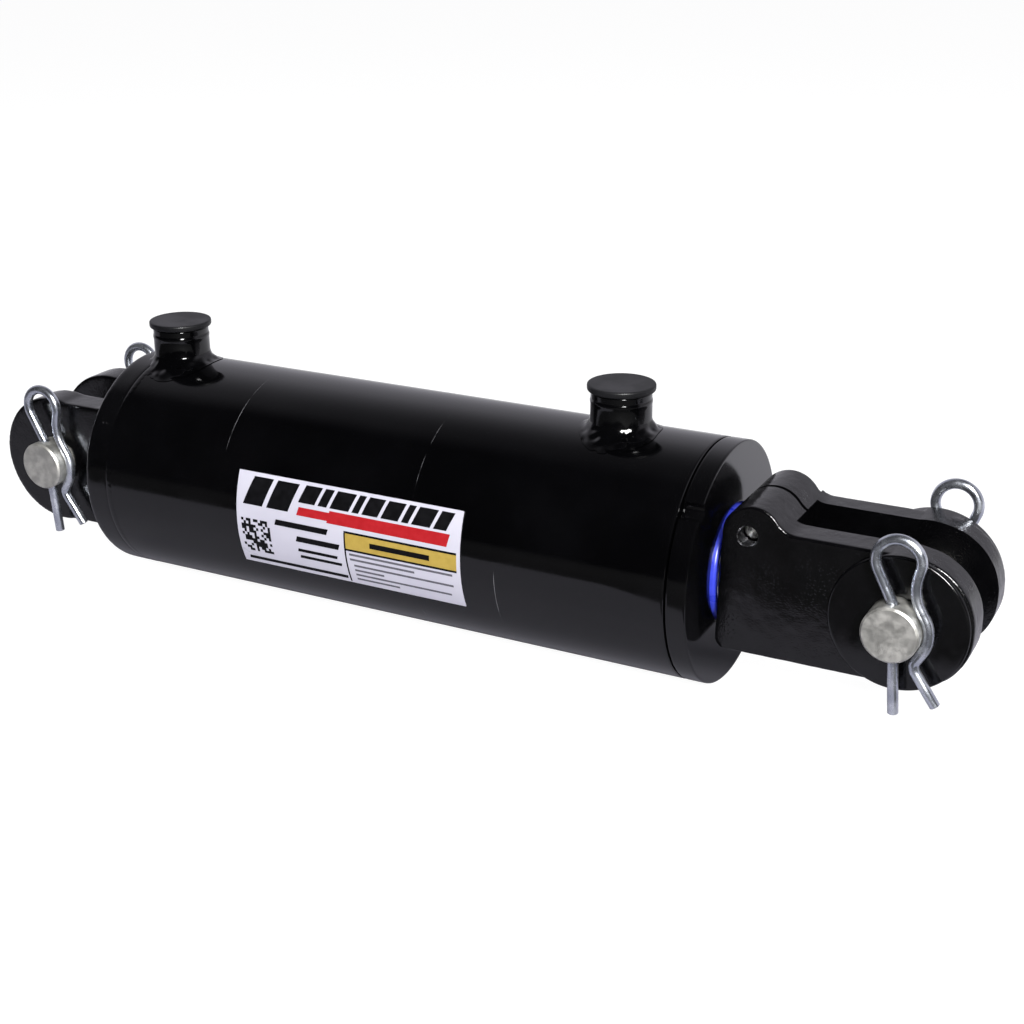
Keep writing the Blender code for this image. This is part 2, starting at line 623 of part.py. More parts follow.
# ---------------------------------------------------------------- assembly
def build():
    clear_scene()
    parts = new_collection("hydraulic_cylinder")
    cutters = new_collection("cutters")
    barrel_tube(parts, cutters)
    base_clevis(parts, cutters)
    gland(parts, cutters)
    gland_seals(parts)
    for name, station in PORT_STATIONS.items():
        port(parts, cutters, name, station)
    info_label(parts)
    piston_rod(parts)
    piston(parts)
    piston_nut(parts, cutters)
    rod_clevis(parts, cutters)
    clamp_bolt(parts, cutters)
    for end, station in (("base", 0.0), ("rod", RETRACTED)):
        clevis_pin(parts, cutters, end, station)
        hairpin(parts, end, station, "near", -CLIP_Y)
        hairpin(parts, end, station, "far", CLIP_Y)


build()
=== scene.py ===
"""The hydraulic cylinder's visible pieces and finishes, with floor, lights and camera.

The axes are the frame's own: origin at the base pin, +X to the rod end, +Z to the ports.
Shapes, with the floor and the card, are laid out in millimetres and scaled to metres as they are
made. Materials, lights and the camera are in metres.
"""
import math

import bmesh
import bpy
from mathutils import Matrix, Vector, noise

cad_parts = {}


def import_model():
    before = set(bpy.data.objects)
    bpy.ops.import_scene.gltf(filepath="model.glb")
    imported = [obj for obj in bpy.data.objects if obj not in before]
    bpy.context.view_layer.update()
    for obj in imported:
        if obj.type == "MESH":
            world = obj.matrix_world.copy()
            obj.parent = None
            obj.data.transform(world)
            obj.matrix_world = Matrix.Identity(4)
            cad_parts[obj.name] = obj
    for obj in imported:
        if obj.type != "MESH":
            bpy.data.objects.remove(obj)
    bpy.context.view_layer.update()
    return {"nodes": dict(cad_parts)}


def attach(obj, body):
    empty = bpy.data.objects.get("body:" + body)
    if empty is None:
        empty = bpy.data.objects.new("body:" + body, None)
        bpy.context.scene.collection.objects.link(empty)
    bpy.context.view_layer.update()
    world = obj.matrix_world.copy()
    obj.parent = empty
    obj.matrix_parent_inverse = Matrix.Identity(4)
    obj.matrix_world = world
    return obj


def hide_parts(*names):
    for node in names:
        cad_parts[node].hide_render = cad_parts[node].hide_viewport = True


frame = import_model()

MM = 0.001
GAP = 0.3
BARREL_R = 57.15
BORE_R = 50.8
ROD_R = 25.4
ROD_TAIL_R = 19.05
PIN_R = 12.7
WIRE_R = 2.38125
HALF_WIDTH = 31.75
HALF_SLOT = 14.2875
BOSS_R = 14.4
ROD_PIN_X = 463.55
PORT_X = {"base": 66.9, "rod": 320.2}
FLOOR_Z = -58.0


# ---------------------------------------------------------------- mesh helpers, in millimetres
def placed(name, data):
    item = bpy.data.objects.new(name, data)
    bpy.context.scene.collection.objects.link(item)
    return item


def from_bmesh(name, shape):
    """An object made from a bmesh in millimetres. The bmesh is used up."""
    bmesh.ops.recalc_face_normals(shape, faces=shape.faces)
    bmesh.ops.scale(shape, vec=(MM, MM, MM), verts=shape.verts)
    mesh = bpy.data.meshes.new(name)
    shape.to_mesh(mesh)
    shape.free()
    return placed(name, mesh)


def bridge(shape, one, two):
    """Faces between two closed rings that have as many points as each other."""
    for index in range(len(one)):
        nxt = (index + 1) % len(one)
        shape.faces.new((one[index], one[nxt], two[nxt], two[index]))


AXES = {
    "X": lambda s, r, a: (s, r * math.sin(a), r * math.cos(a)),
    "Y": lambda s, r, a: (r * math.cos(a), s, r * math.sin(a)),
    "Z": lambda s, r, a: (r * math.cos(a), r * math.sin(a), s),
}


def rounded(outline, radius, steps=3):
    """The outline with each corner swapped for a small arc.

    An outline that starts on the axis is open there, so its two end points stay as they are.
    A point just before and just after each arc keeps the flats beside it looking flat.
    """
    result = []
    count = len(outline)
    closed = outline[0][1] > 0
    most, flat_share, flat_most = 0.45, 1.35, 0.48
    for index, point in enumerate(outline):
        here = Vector(point)
        if not closed and index in (0, count - 1):
            result.append(tuple(here))
            continue
        before = Vector(outline[index - 1]) - here
        after = Vector(outline[(index + 1) % count]) - here
        size = min(radius, before.length * most, after.length * most)
        start = here + before.normalized() * size
        end = here + after.normalized() * size
        flat = min(size * flat_share, before.length * flat_most)
        result.append(tuple(here + before.normalized() * flat))
        for step in range(steps + 1):
            t = step / steps
            result.append(tuple(start * (1 - t) ** 2 + here * 2 * t * (1 - t) + end * t * t))
        flat = min(size * flat_share, after.length * flat_most)
        result.append(tuple(here + after.normalized() * flat))
    return result


def turned(name, outline, axis="X", at=(0, 0, 0), steps=160, warp=None):
    """Turn (station, radius) points about an axis.

    An outline that starts on the axis makes a solid, and any other makes a ring.
    """
    shape = bmesh.new()
    place = AXES[axis]
    rings = []
    for station, radius in outline:
        ring = []
        for index in range(steps if radius > 0 else 1):
            angle = 2 * math.pi * index / steps
            s, r = warp(station, radius, angle) if warp else (station, radius)
            ring.append(shape.verts.new(Vector(place(s, r, angle)) + Vector(at)))
        rings.append(ring)
    pairs = list(zip(rings, rings[1:]))
    if outline[0][1] > 0:
        pairs.append((rings[-1], rings[0]))
    for one, two in pairs:
        for index in range(steps):
            nxt = (index + 1) % steps
            corners = [one[index % len(one)], one[nxt % len(one)]]
            corners += [two[nxt % len(two)], two[index % len(two)]]
            corners = list(dict.fromkeys(corners))
            if len(corners) > 2:
                shape.faces.new(corners)
    return from_bmesh(name, shape)


def shaft(name, radius, low, high, axis="Y", at=(0, 0, 0), steps=96):
    """A plain solid cylinder."""
    return turned(name, [(high, 0), (high, radius), (low, radius), (low, 0)], axis, at, steps)


def block(name, low, high):
    shape = bmesh.new()
    bmesh.ops.create_cube(shape, size=1)
    low, high = Vector(low), Vector(high)
    bmesh.ops.scale(shape, vec=high - low, verts=shape.verts)
    bmesh.ops.translate(shape, vec=(low + high) / 2, verts=shape.verts)
    return from_bmesh(name, shape)


def plate(name, outline, low, high, axis="Y"):
    """An (X, Z) outline made solid between two Y values, or for axis X, (Y, Z) between two Xs."""
    shape = bmesh.new()
    ends = []
    for depth in (low, high):
        if axis == "X":
            points = [(depth, y, z) for y, z in outline]
        else:
            points = [(x, depth, z) for x, z in outline]
        ends.append([shape.verts.new(point) for point in points])
    bridge(shape, ends[0], ends[1])
    shape.faces.new(ends[0])
    shape.faces.new(ends[1])
    return from_bmesh(name, shape)


def arc(centre, radius, start, end, count):
    """Points of an arc between two angles in degrees."""
    turns = [math.radians(start + (end - start) * index / count) for index in range(count + 1)]
    return [(centre[0] + radius * math.cos(t), centre[1] + radius * math.sin(t)) for t in turns]


def applied(item):
    """The item with its modifiers made real."""
    bpy.context.view_layer.update()
    graph = bpy.context.evaluated_depsgraph_get()
    mesh = bpy.data.meshes.new_from_object(item.evaluated_get(graph))
    item.modifiers.clear()
    item.data = mesh
    return item


def cut(item, tools, operation="DIFFERENCE"):
    """The item less each tool, or joined or crossed with it. The tools are used up."""
    for tool in tools:
        step = item.modifiers.new("cut", "BOOLEAN")
        step.operation = operation
        step.solver = "EXACT"
        step.object = tool
    applied(item)
    for tool in tools:
        bpy.data.objects.remove(tool, do_unlink=True)
    return item


def joined(item, others):
    return cut(item, others, "UNION")


def cast_skin(item, voxel, passes):
    """Rebuild a blocked-out shape as one skin and soften it, as a sand casting is."""
    skin = item.modifiers.new("skin", "REMESH")
    skin.mode = "VOXEL"
    skin.voxel_size = voxel * MM
    soft = item.modifiers.new("soft", "SMOOTH")
    soft.factor = 0.5
    soft.iterations = passes
    return applied(item)


def roughened(item, size, height):
    """Push the skin in and out along its normals, by noise at two sizes."""
    mesh = item.data
    offsets = []
    for vert in mesh.vertices:
        value = noise.noise(vert.co / (size * MM))
        value += 0.5 * noise.noise(vert.co / (size * 0.4 * MM))
        offsets.append(vert.normal * value * height * MM)
    for vert, offset in zip(mesh.vertices, offsets):
        vert.co += offset
    return item


def finish(item, material, body, nodes=(), angle=30.0):
    """Shade smooth, give the material, and tell the frame what the piece is."""
    item.data.shade_smooth()
    item.data.set_sharp_from_angle(angle=math.radians(angle))
    item.data.materials.clear()
    item.data.materials.append(material)
    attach(item, body)
    if nodes:
        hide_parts(*nodes)
    return item


# ---------------------------------------------------------------- materials
class Nodes:
    """Short ways to add nodes to a tree and wire them up. Colours are (red, green, blue)."""

    def __init__(self, tree, place="Object"):
        self.tree = tree
        self.place = self.node("ShaderNodeTexCoord").outputs[place]

    def node(self, kind, **settings):
        node = self.tree.nodes.new(kind)
        for key, value in settings.items():
            setattr(node, key, value)
        return node

    def link(self, source, target):
        """Wire an output to an input, or set the input to a number, vector or colour."""
        if isinstance(source, tuple):
            target.default_value = source + (1.0,) if target.type == "RGBA" else source
        elif isinstance(source, (int, float)):
            target.default_value = source
        else:
            self.tree.links.new(source, target)

    def noise(self, scale, detail=3.0, stretch=None, rough=0.5):
        place = self.place
        if stretch:
            stretched = self.node("ShaderNodeVectorMath", operation="MULTIPLY")
            self.link(place, stretched.inputs[0])
            self.link(stretch, stretched.inputs[1])
            place = stretched.outputs[0]
        node = self.node("ShaderNodeTexNoise")
        sources = {"Vector": place, "Scale": scale, "Detail": detail, "Roughness": rough}
        for socket, source in sources.items():
            self.link(source, node.inputs[socket])
        return node.outputs["Fac"]

    def cells(self, scale):
        node = self.node("ShaderNodeTexVoronoi")
        self.link(self.place, node.inputs["Vector"])
        self.link(scale, node.inputs["Scale"])
        return node.outputs["Distance"]

    def span(self, value, low, high, to_low=0.0, to_high=1.0, kind="SMOOTHSTEP"):
        """The value's run from low to high turned into a run from to_low to to_high."""
        node = self.node("ShaderNodeMapRange", interpolation_type=kind)
        for index, source in enumerate((value, low, high, to_low, to_high)):
            self.link(source, node.inputs[index])
        return node.outputs["Result"]

    def math(self, operation, one, two=0.0):
        node = self.node("ShaderNodeMath", operation=operation)
        self.link(one, node.inputs[0])
        self.link(two, node.inputs[1])
        return node.outputs[0]

    def times(self, one, *others):
        for other in others:
            one = self.math("MULTIPLY", one, other)
        return one

    def length(self, one, two):
        """The length of a vector with these two parts."""
        return self.math("SQRT", self.math("ADD", self.times(one, one), self.times(two, two)))

    def mix(self, factor, one, two):
        """Colour one, or two where the factor is 1."""
        node = self.node("ShaderNodeMix", data_type="RGBA")
        self.link(factor, node.inputs["Factor"])
        self.link(one, node.inputs[6])
        self.link(two, node.inputs[7])
        return node.outputs[2]

    def blend(self, factor, one, two):
        """Number one, or two where the factor is 1."""
        node = self.node("ShaderNodeMix", data_type="FLOAT")
        self.link(factor, node.inputs["Factor"])
        self.link(one, node.inputs[2])
        self.link(two, node.inputs[3])
        return node.outputs[0]

    def axis(self, name):
        node = self.node("ShaderNodeSeparateXYZ")
        self.link(self.place, node.inputs[0])
        return node.outputs[name]

    def bump(self, height, distance, strength, normal=None):
        node = self.node("ShaderNodeBump")
        self.link(distance, node.inputs["Distance"])
        self.link(strength, node.inputs["Strength"])
        self.link(height, node.inputs["Height"])
        if normal is not None:
            self.link(normal, node.inputs["Normal"])
        return node.outputs[0]

    def shader(self, kind, **sources):
        """A shader's output, its sockets given by name, or by number as in_0 and in_1."""
        node = self.node(kind)
        for socket, source in sources.items():
            key = int(socket[3:]) if socket.startswith("in_") else socket
            self.link(source, node.inputs[key])
        return node.outputs[0]


class Finish(Nodes):
    """A Principled material. Socket names have _ for a space."""

    def __init__(self, name, **values):
        self.material = bpy.data.materials.new(name)
        self.material.use_nodes = True
        super().__init__(self.material.node_tree)
        self.out(**values)

    def out(self, **sources):
        shader = self.tree.nodes["Principled BSDF"]
        for socket, source in sources.items():
            self.link(source, shader.inputs[socket.replace("_", " ")])
        return self.material


def gloss_paint(name, lines=()):
    """Black gloss enamel: faint orange peel, dust, handling marks and fine lines round the tube.

    A line is (X, half width, low Z, high Z) and fades out over the last few millimetres.
    """
    g = Finish(name)
    fade = 0.006
    haze = g.noise(22.0, 4.0)
    dust = g.span(g.cells(900.0), 0.0, 0.09, 1.0, 0.0)
    dust = g.times(dust, g.span(g.noise(60.0, 2.0), 0.52, 0.68))
    rough = g.math("ADD", g.span(haze, 0.3, 0.7, 0.08, 0.14), g.times(dust, 0.25))
    colour = g.mix(g.span(haze, 0.35, 0.7), (0.0007, 0.0007, 0.0009), (0.0014, 0.0014, 0.0017))
    colour = g.mix(g.times(dust, 0.05), colour, (0.25, 0.25, 0.26))
    normal = g.bump(g.noise(260.0, 2.0), 0.00004, 0.35)
    for station, width, low, high in lines:
        off = g.math("ABSOLUTE", g.math("SUBTRACT", g.axis("X"), station))
        line = g.span(off, 0.0, width, 1.0, 0.0)
        above = g.span(g.axis("Z"), low, low + fade)
        below = g.span(g.axis("Z"), high - fade, high, 1.0, 0.0)
        broken = g.span(g.noise(90.0, 3.0), 0.35, 0.6)
        line = g.times(line, above, below, broken)
        colour = g.mix(line, colour, (0.16, 0.16, 0.17))
        normal = g.bump(line, 0.00008, 0.5, normal)
    return g.out(Base_Color=colour, Roughness=rough, Normal=normal)


def disc_faces(g):
    """1 on the faces of the rod clevis's round discs."""
    far = g.length(g.math("SUBTRACT", g.axis("X"), ROD_PIN_X * MM), g.axis("Z"))
    side = g.math("ABSOLUTE", g.axis("Y"))
    return g.times(g.span(far, 0.0308, 0.0312, 1.0, 0.0), g.span(side, 0.0300, 0.0310))


def cap_rim(g):
    """1 on the rim of the base casting's round cap."""
    far = g.length(g.axis("Y"), g.axis("Z"))
    return g.times(g.span(far, 0.0545, 0.0565), g.span(g.axis("X"), 0.0415, 0.0430))


def cast_paint(name, turned_share):
    """The same enamel over a sand casting: pits and grain, nearly smooth where it is turned.

    turned_share takes the graph and gives 1 on the turned faces and 0 on the cast ones.
    """
    g = Finish(name)
    lumps = g.noise(190.0, 3.0)
    clear = g.span(g.noise(60.0, 3.0), 0.34, 0.54)
    pits = g.math("MAXIMUM", g.span(g.cells(760.0), 0.04, 0.36), clear)
    raw = g.math("SUBTRACT", 1.0, g.times(turned_share(g), 0.85))
    tone = g.span(g.noise(35.0, 4.0), 0.3, 0.7)
    colour = g.mix(tone, (0.0009, 0.0009, 0.0011), (0.0020, 0.0020, 0.0024))
    worn = g.times(g.span(g.noise(230.0, 5.0), 0.66, 0.76), g.span(g.noise(30.0, 2.0), 0.5, 0.65))
    colour = g.mix(g.times(worn, 0.25), colour, (0.12, 0.12, 0.125))
    normal = g.bump(g.times(lumps, raw), 0.00030, 0.45)
    normal = g.bump(g.times(g.noise(1300.0, 3.0), raw), 0.00012, 0.6, normal)
    normal = g.bump(g.times(pits, raw), 0.00018, 0.5, normal)
    rough = g.span(lumps, 0.3, 0.7, 0.09, 0.18)
    return g.out(Base_Color=colour, Roughness=rough, Normal=normal)


def zinc(name, light, dark, rough, metal=1.0, mottle=60.0, stretch=None, depth=0.00003):
    """Bright zinc plate: cloudy spangle, fine drawn streaks and small stains."""
    g = Finish(name, Metallic=metal)
    cloud = g.noise(mottle, 4.0)
    streak = g.noise(400.0, 3.0, stretch)
    stain = g.span(g.noise(mottle * 3, 5.0, rough=0.7), 0.56, 0.72)
    colour = g.mix(g.span(cloud, 0.3, 0.7), dark, light)
    colour = g.mix(g.times(stain, 0.35), colour, tuple(part * 0.55 for part in dark))
    gloss = g.span(cloud, 0.3, 0.7, rough - 0.05, rough + 0.06)
    gloss = g.math("ADD", gloss, g.times(stain, 0.12))
    gloss = g.math("ADD", gloss, g.span(streak, 0.35, 0.65, -0.04, 0.05))
    normal = g.bump(g.noise(1400.0, 2.0), 0.00003, 0.3, g.bump(streak, depth, 0.5))
    return g.out(Base_Color=colour, Roughness=gloss, Normal=normal)


def plain(name, light, dark, rough, scale=120.0, depth=0.00003, stretch=None, **values):
    """A moulded or machined surface: two close tones, uneven gloss and fine relief."""
    g = Finish(name, **values)
    tone = g.noise(scale, 4.0, stretch)
    colour = g.mix(g.span(tone, 0.3, 0.7), dark, light)
    gloss = g.span(tone, 0.3, 0.7, rough * 0.85, rough * 1.15)
    normal = g.bump(g.noise(scale * 9, 3.0, stretch), depth, 0.5)
    return g.out(Base_Color=colour, Roughness=gloss, Normal=normal)


def ink(name, light, dark):
    return plain(name, light, dark, 0.5, 300.0, 0.00001, Specular_IOR_Level=0.08)


# X, half width, low Z and high Z of each line in the barrel's paint, in metres.
BARREL_LINES = (
    (0.2374, 0.00022, 0.024, 0.056),
    (0.2374, 0.00018, -0.052, -0.030),
    (0.1282, 0.00020, 0.030, 0.058),
    (0.2829, 0.00022, -0.045, 0.000),
)
PAINT = {
    "barrel": gloss_paint("barrel_enamel", BARREL_LINES),
    "gloss": gloss_paint("fitting_enamel"),
    "base_cast": cast_paint("base_casting_enamel", cap_rim),
    "rod_cast": cast_paint("rod_casting_enamel", disc_faces),
    "pin": zinc("pin_zinc", (0.50, 0.49, 0.46), (0.37, 0.365, 0.34), 0.46, 0.8, 240.0),
    "clip": zinc("clip_zinc", (0.71, 0.74, 0.80), (0.50, 0.53, 0.60), 0.25, 0.96, 140.0,
                 (0.25, 1.0, 0.25), 0.000012),
    "bolt": zinc("bolt_zinc", (0.72, 0.72, 0.70), (0.45, 0.45, 0.43), 0.30),
    # The thread's steel tones are darkened so the hole reads dark: painted shade over the steel's
    # own colour.
    "thread": plain("thread_steel_painted_shade", (0.42, 0.42, 0.44), (0.16, 0.16, 0.17), 0.24, 500.0,
                    Metallic=1.0),
    "chrome": plain("rod_chrome", (0.78, 0.78, 0.79), (0.70, 0.70, 0.715), 0.07, 25.0, 0.000004,
                    (6.0, 1.0, 1.0), Metallic=1.0),
    "wiper": plain("wiper_urethane", (0.04, 0.06, 0.62), (0.025, 0.04, 0.48), 0.30, 180.0, 0.00002),
    "seal": plain("seal_urethane", (0.07, 0.10, 0.80), (0.05, 0.07, 0.62), 0.34),
    "plug": plain("plug_plastic", (0.008, 0.008, 0.009), (0.005, 0.005, 0.006), 0.42, 60.0, 0.00005,
                  Specular_IOR_Level=0.22),
    "nitrile": plain("nitrile_rubber", (0.016, 0.016, 0.017), (0.010, 0.010, 0.011), 0.55),
    "ptfe": plain("seal_ptfe", (0.30, 0.16, 0.07), (0.22, 0.11, 0.05), 0.45),
    "nylon": plain("wear_ring_nylon", (0.42, 0.34, 0.20), (0.34, 0.27, 0.15), 0.5),
    "iron": plain("piston_iron", (0.30, 0.29, 0.28), (0.20, 0.195, 0.19), 0.38, 90.0, 0.00005,
                  Metallic=1.0),
    "steel": plain("nut_steel", (0.34, 0.33, 0.32), (0.22, 0.21, 0.20), 0.34, Metallic=1.0),
    "film": plain("label_film", (0.53, 0.52, 0.59), (0.495, 0.485, 0.56), 0.32, 40.0, 0.00001),
    "ink_black": ink("print_black", (0.004, 0.004, 0.005), (0.0025, 0.0025, 0.003)),
    "ink_red": ink("print_red", (0.38, 0.014, 0.019), (0.335, 0.011, 0.015)),
    "ink_gold": ink("print_gold", (0.42, 0.30, 0.066), (0.375, 0.265, 0.056)),
    "ink_grey": ink("print_grey", (0.13, 0.125, 0.15), (0.10, 0.10, 0.115)),
}


# ---------------------------------------------------------------- barrel and base casting
def barrel():
    low, high, drill_r = 58.3, 366.9, 6.5
    outline = [(high, BORE_R), (high, BARREL_R), (low, BARREL_R), (low, BORE_R)]
    tube = turned("barrel", rounded(outline, 0.9), steps=256)
    drills = [shaft("drill", drill_r, 40, 70, "Z", (x, 0, 0), 48) for x in PORT_X.values()]
    finish(cut(tube, drills), PAINT["barrel"], "cylinder", ["barrel_tube"])


def ear_outline():
    """An ear with a round end that flares into the cap above and below."""
    ear_r, half, flare_r, root = 34.4, 33.2, 12.0, 47.0
    start = math.degrees(math.asin(half / ear_r))
    upper = arc((42.5 - flare_r, half + flare_r), flare_r, 0, -90, 12)
    lower = [(x, -z) for x, z in reversed(upper)]
    tip = arc((0, 0), ear_r, start, 360 - start, 90)
    top = half + flare_r
    return [(root, top)] + upper + tip + lower + [(root, -top)]


def base_casting():
    """A round cap with two ears, and a register that fits inside the tube."""
    rear, front, rim_r = 42.4, 57.8, BARREL_R + 0.05
    inner, outer = 14.2, 31.85
    register_r, pocket_r = BORE_R - GAP, 30
    cap = rounded([(front, 0), (front, rim_r), (rear, rim_r), (rear, 0)], 1.5)
    body = turned("base_casting", cap)
    sides = ((-outer, -inner), (inner, outer))
    joined(body, [plate("ear", ear_outline(), low, high) for low, high in sides])
    roughened(cast_skin(body, 0.85, 14), 11.0, 0.04)
    register = [(60, pocket_r), (60, register_r), (57, register_r), (57, pocket_r)]
    joined(body, [turned("register", register)])
    cut(body, [shaft("pocket", pocket_r, 56, 66, "X"), shaft("bore", PIN_R + GAP, -50, 50)])
    finish(body, PAINT["base_cast"], "cylinder", ["base_clevis"], 40)


def base_weld():
    """The bead that joins the casting to the tube, laid down in overlapping ripples."""
    middle, half, crown, edge_r, foot_r = 58.0, 2.3, 0.44, 56.8, 56.0
    ripples = 110

    def ripple(station, radius, angle):
        lay = noise.noise((math.cos(angle) * 7, math.sin(angle) * 7, 0.0))
        wave = math.sin(ripples * angle + 2.2 * lay)
        share = max(0.0, (radius - edge_r) / crown)
        return station + share * 0.05 * wave, radius + share * (0.02 * wave + 0.05 * lay)

    turns = [math.pi * step / 10 for step in range(11)]
    outline = [(middle + half, foot_r)]
    outline += [(middle + half * math.cos(t), edge_r + crown * math.sin(t)) for t in turns]
    outline += [(middle - half, foot_r)]
    bead = turned("base_weld", outline, steps=900, warp=ripple)
    finish(bead, PAINT["gloss"], "cylinder", (), 60)


# ---------------------------------------------------------------- gland and wiper
def square_groove(surface, floor, first, last):
    """Points of a groove that goes from one radius to another between two stations."""
    return [(first, surface), (first, floor), (last, floor), (last, surface)]


def gland():
    """The head with its spigot in the tube, its seal grooves and two spanner notches."""
    face, flange, spigot_r, bore, mouth_r = 377.46, 367.7, BORE_R - GAP, ROD_R + GAP, 28.2
    outline = [(face, mouth_r), (face, BARREL_R), (flange, BARREL_R), (flange, spigot_r)]
    outline += square_groove(spigot_r, 46.3, 347.5, 341.0)
    outline += [(333, spigot_r), (333, 38), (313, 38), (313, bore)]
    outline += square_groove(bore, 28.2, 322, 336) + square_groove(bore, 30.9, 352, 361)
    outline += [(370.5, bore), (370.5, 31.8), (374.5, 31.8), (374.5, mouth_r)]
    head = turned("gland_head", rounded(outline, 0.9), steps=224)
    notch_r, notch_at = 4.5, BARREL_R + 1
    notches = []
    for angle in (47, 227):
        turn = math.radians(angle)
        centre = (0, -math.sin(turn) * notch_at, math.cos(turn) * notch_at)
        notches.append(shaft("notch", notch_r, 360, 385, "X", centre, 64))
    cut(head, notches)
    soft = head.modifiers.new("soft", "BEVEL")
    soft.width = 0.7 * MM
    soft.segments = 3
    soft.limit_method = "ANGLE"
    soft.angle_limit = math.radians(50)
    applied(head)
    finish(head, PAINT["gloss"], "cylinder", ["gland"])


def wiper():
    """A heel that sits in the gland, and a lip that stands out of its mouth."""
    bore = ROD_R + GAP
    outline = [(378.6, bore), (379.6, 26.3), (379.4, 26.9), (378.5, 27.5), (377.2, 27.7)]
    outline += [(374.2, 27.7), (374.2, 31.4), (370.8, 31.4), (370.8, bore)]
    ring = turned("wiper_lip", rounded(outline, 0.35), steps=192)
    finish(ring, PAINT["wiper"], "cylinder", ["rod_wiper"])


# ---------------------------------------------------------------- ports
def port_weld(station, seed):
    """Hand-laid fillet round a boss: it follows the tube, with an uneven toe and soft lumps."""
    shape = bmesh.new()
    steps, rows, leg, lump_size, swell_height = 240, 18, 5.3, 4.6, 0.85
    inner_r, under_z = 12, 48
    rings = []
    for index in range(steps):
        turn = 2 * math.pi * index / steps
        along, across = math.cos(turn), math.sin(turn)
        lump = noise.noise((along * 1.6 + seed, across * 1.6, seed))
        toe = 18.6 + 3.9 * across ** 2 + 2.8 * max(0.0, math.cos(turn + 0.9)) ** 2 + 1.1 * lump
        toe_z = math.sqrt(BARREL_R ** 2 - (toe * across) ** 2)
        root_z = math.sqrt(BARREL_R ** 2 - (BOSS_R * across) ** 2)
        low = Vector((toe, toe_z + 0.32))
        bend = Vector((BOSS_R + 0.20 * (toe - BOSS_R), root_z + 0.10 * leg))
        high = Vector((BOSS_R - 0.05, root_z + leg + 0.5 * lump))
        section = [Vector((inner_r, under_z)), Vector((toe, under_z))]
        for row in range(rows + 1):
            t = row / rows
            point = low * (1 - t) ** 2 + bend * 2 * t * (1 - t) + high * t * t
            spot = Vector((along * point.x, across * point.x, point.y)) / lump_size
            swell = noise.noise(spot + Vector((seed, seed, seed)))
            swell = math.sin(math.pi * t) * swell_height * swell
            point += Vector((0.62, 0.78)) * swell
            section.append(point)
        section.append(Vector((inner_r, high.y)))
        spots = [(station + p.x * along, p.x * across, p.y) for p in section]
        rings.append([shape.verts.new(spot) for spot in spots])
    for one, two in zip(rings, rings[1:] + rings[:1]):
        bridge(shape, one, two)
    return from_bmesh("weld", shape)


def port(name, station, seed):
    """A boss with its weld, cut to sit on the tube, and the plastic plug pushed into it."""
    at = (station, 0, 0)
    bore, drill_r, step_z = 9.3, 6.5, 60.5
    outline = [(75, bore), (75, 14.25), (71.9, 14.27), (71.2, 14.5), (70.4, 14.62), (69.6, 14.5)]
    outline += [(68.8, BOSS_R), (50, BOSS_R), (50, drill_r), (step_z, drill_r), (step_z, bore)]
    boss = turned(name + "_boss", rounded(outline, 0.5), "Z", at, 128)
    joined(boss, [port_weld(station, seed)])
    skin, cap_skin, cap_end = BARREL_R + GAP, 58.2, 58.5
    saddle = [(station + 30, 0), (station + 30, skin), (cap_end, skin), (cap_end, cap_skin)]
    saddle += [(30, cap_skin), (30, 0)]
    cut(boss, [turned("saddle", saddle, steps=256)])
    finish(boss, PAINT["gloss"], "cylinder", [name + "_port_boss"], 50)
    plug = [(78.4, 0), (78.4, 6), (78.5, 15.0), (78.3, 15.8), (77.8, 16.0), (76.2, 16.0)]
    plug += [(75.6, 15.8), (75.3, 15.2), (75.3, 8.9), (63.5, 8.9), (62.5, 7.9), (62.5, 0)]
    cap = turned(name + "_plug", rounded(plug, 0.3), "Z", at, 128)
    finish(cap, PAINT["plug"], name + "_plug", [name + "_port_plug"])


# ---------------------------------------------------------------- label
LABEL_LOW, LABEL_HIGH = 139.2, 265.6
LABEL_ANGLE = 24.7
LABEL_R = 57.45


def rim(grid):
    """The points round the edge of a grid, in order."""
    right = [line[-1] for line in grid[1:]]
    left = [line[0] for line in grid[-2:0:-1]]
    return grid[0] + right + grid[-1][-2::-1] + left


def label_patch(shape, corners, low_r, high_r):
    """A thin solid patch of the label laid on the tube between two radii.

    The corners are (u, v), u to the right and v down, both 0 to 1 over the whole label. They run
    round from the top left, and the two top ones share a v, as do the two low ones.
    """
    (left_top, top), (right_top, _), (right_low, low), (left_low, _) = corners
    rows = max(1, round(abs(low - top) * 40))
    columns = max(1, round(abs(right_top - left_top) * 30))
    layers = []
    for radius in (low_r, high_r):
        grid = []
        for row in range(rows + 1):
            t = row / rows
            angle = math.radians(LABEL_ANGLE * (1 - 2 * (top + (low - top) * t)))
            line = []
            for column in range(columns + 1):
                share = column / columns
                upper = left_top + (right_top - left_top) * share
                lower = left_low + (right_low - left_low) * share
                u = upper * (1 - t) + lower * t
                x = LABEL_LOW + (LABEL_HIGH - LABEL_LOW) * u
                y, z = -radius * math.cos(angle), radius * math.sin(angle)
                line.append(shape.verts.new((x, y, z)))
            grid.append(line)
        layers.append(grid)
    for row in range(rows):
        for column in range(columns):
            for grid in layers:
                one, two = grid[row], grid[row + 1]
                shape.faces.new((one[column], one[column + 1], two[column + 1], two[column]))
    bridge(shape, rim(layers[0]), rim(layers[1]))


def bar(left, top, right, low, lean=0.0):
    """Corners of a box on the label, its foot shifted back by lean."""
    return ((left, top), (right, top), (right - lean, low), (left - lean, low))


def label_ink(name, colour, boxes):
    shape = bmesh.new()
    for box in boxes:
        label_patch(shape, box, LABEL_R + 0.235, LABEL_R + 0.262)
    finish(from_bmesh(name, shape), PAINT[colour], "cylinder")


